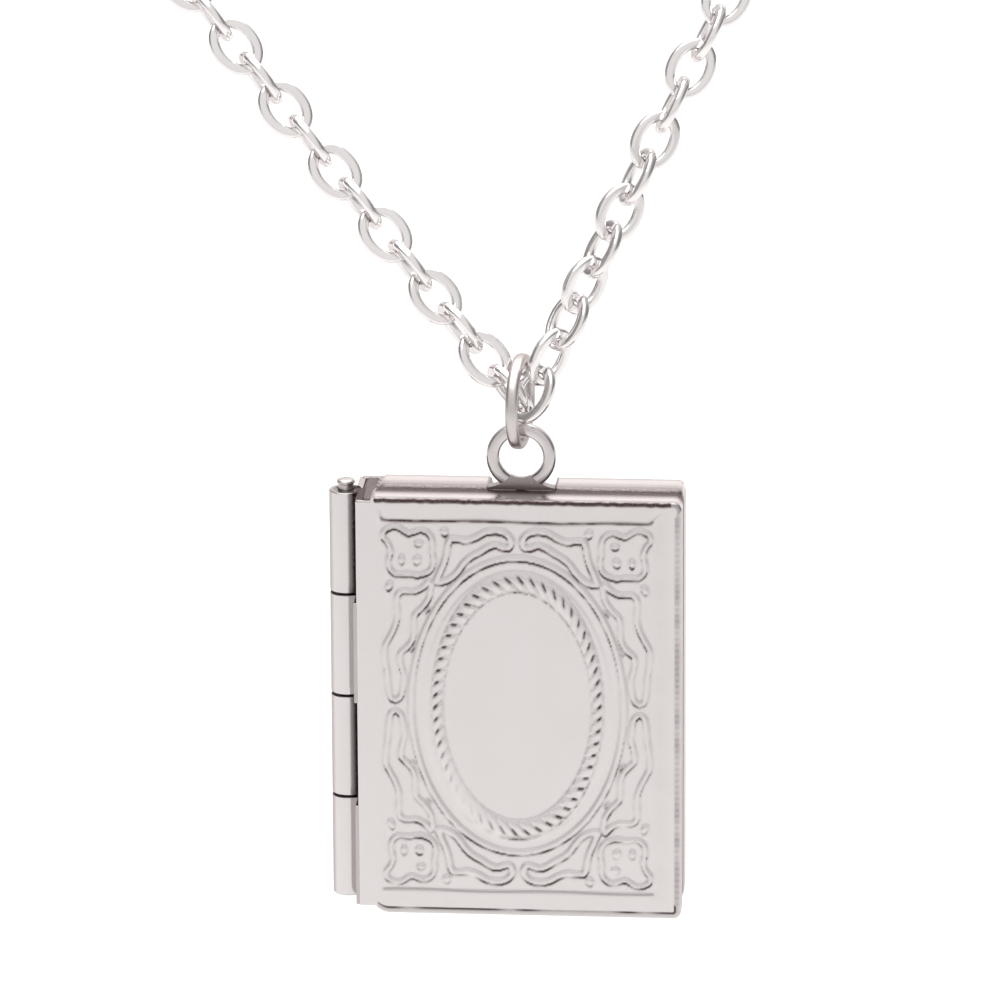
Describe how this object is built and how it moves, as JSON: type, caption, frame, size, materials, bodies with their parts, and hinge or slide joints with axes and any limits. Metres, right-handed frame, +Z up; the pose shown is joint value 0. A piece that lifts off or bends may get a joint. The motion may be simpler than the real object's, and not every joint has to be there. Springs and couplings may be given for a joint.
{
  "type": "locket necklace",
  "caption": "Book-shaped hinged locket with a raised scroll and oval pattern, hung by a ring and ear from a loop of oval cable chain.",
  "frame": {"origin": "middle of the closure at the nape, where the necklace sits on the neck", "axes": "+Z up as worn, the locket's front faces -Y, +X to the viewer's right"},
  "size_m": [0.1251, 0.1081, 0.1581],
  "materials": {
    "silver_plate": "polished"
  },
  "bodies": {
    "chain": {"chain_left": "silver_plate", "chain_right": "silver_plate", "end_ring_left": "silver_plate", "end_ring_right": "silver_plate", "clasp": "silver_plate"},
    "ring": {"jump_ring": "silver_plate"},
    "back": {"back_cover": "silver_plate", "hinge_pin": "silver_plate"},
    "front": {"front_cover": "silver_plate"}
  },
  "joints": [
    {"name": "ring_swing", "type": "hinge", "parent": "chain", "child": "ring", "pos_m": [0.02034, -0.10336, -0.1251], "axis": [1, 0, 0], "range_deg": [-20, 15]},
    {"name": "locket_swing", "type": "hinge", "parent": "ring", "child": "back", "pos_m": [0.02034, -0.10336, -0.12765], "axis": [0, 1, 0], "range_deg": [-30, 30]},
    {"name": "cover_open", "type": "hinge", "parent": "back", "child": "front", "pos_m": [0.00994, -0.10336, -0.14344], "axis": [0, 0, -1], "range_deg": [0, 170]}
  ]
}
